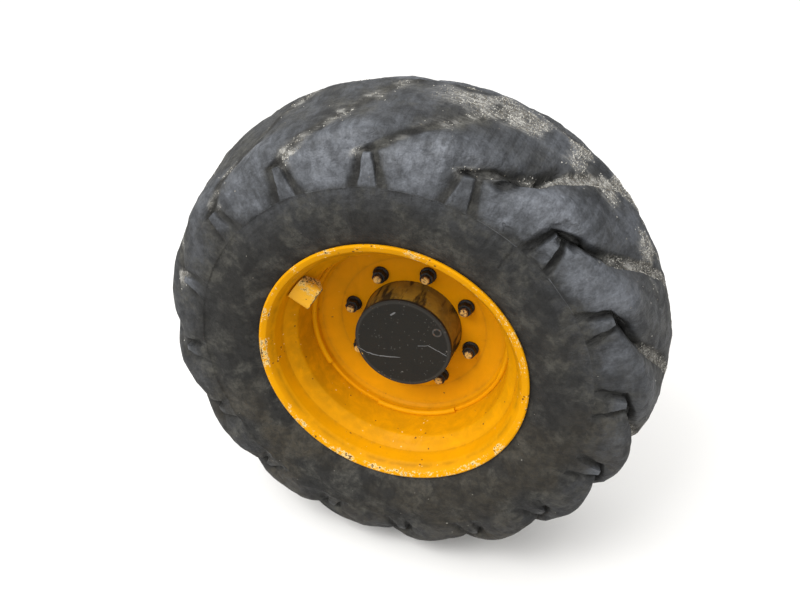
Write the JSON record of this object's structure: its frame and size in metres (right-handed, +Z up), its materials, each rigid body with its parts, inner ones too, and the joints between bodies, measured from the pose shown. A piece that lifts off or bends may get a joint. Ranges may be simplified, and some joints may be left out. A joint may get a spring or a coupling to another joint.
{
  "type": "site dumper wheel end",
  "caption": "Driven wheel end of a site machine: worn lug tyre on a dished steel wheel, bolted to a planetary hub that turns on a flanged axle arm.",
  "frame": {"origin": "centre of the axle arm's flange face, where the arm bolts to the middle of the axle", "axes": "+Y along the wheel's axis, inboard, out of the flange face; the wheel's outer face looks along -Y; +Z up"},
  "size_m": [1.072, 0.559, 1.072],
  "materials": {
    "tyre_rubber": "worn, dusty black rubber",
    "rim_paint": "chipped orange-yellow paint",
    "hub_paint": "dull black paint over the old yellow",
    "casting": "dark painted casting, dirty and rusty at the edges",
    "nut_steel": "blackened steel",
    "stud_steel": "steel with yellow overspray on the tips",
    "bolt_zinc": "dull zinc, rusty",
    "bright_steel": "ground steel with an oil film",
    "seal_rubber": "oily black rubber",
    "valve_rubber": "matt black rubber",
    "cap_plastic": "scuffed black plastic"
  },
  "bodies": {
    "axle_end": {"axle_arm": "casting", "spindle": "casting", "spindle_bolts": "bolt_zinc", "shaft_seal": "seal_rubber"},
    "wheel": {"tyre": "tyre_rubber", "rim_barrel": "rim_paint", "wheel_disc": "rim_paint", "disc_weld": "rim_paint", "valve_guard": "rim_paint", "valve_stem": "valve_rubber", "valve_cap": "cap_plastic", "wheel_studs": "stud_steel", "wheel_nuts": "nut_steel", "hub_drum": "casting", "hub_cover": "hub_paint", "level_plug": "nut_steel"},
    "drive_shaft": {"half_shaft": "bright_steel"}
  },
  "joints": [
    {"name": "wheel_spin", "type": "hinge", "parent": "axle_end", "child": "wheel", "pos_m": [0, -0.3, 0], "axis": [0, 1, 0], "continuous": true},
    {"name": "shaft_spin", "type": "hinge", "parent": "axle_end", "child": "drive_shaft", "pos_m": [0, 0, 0], "axis": [0, 1, 0], "continuous": true}
  ],
  "couplings": [
    {"joint": "shaft_spin", "follows": "wheel_spin", "ratio": 6}
  ]
}
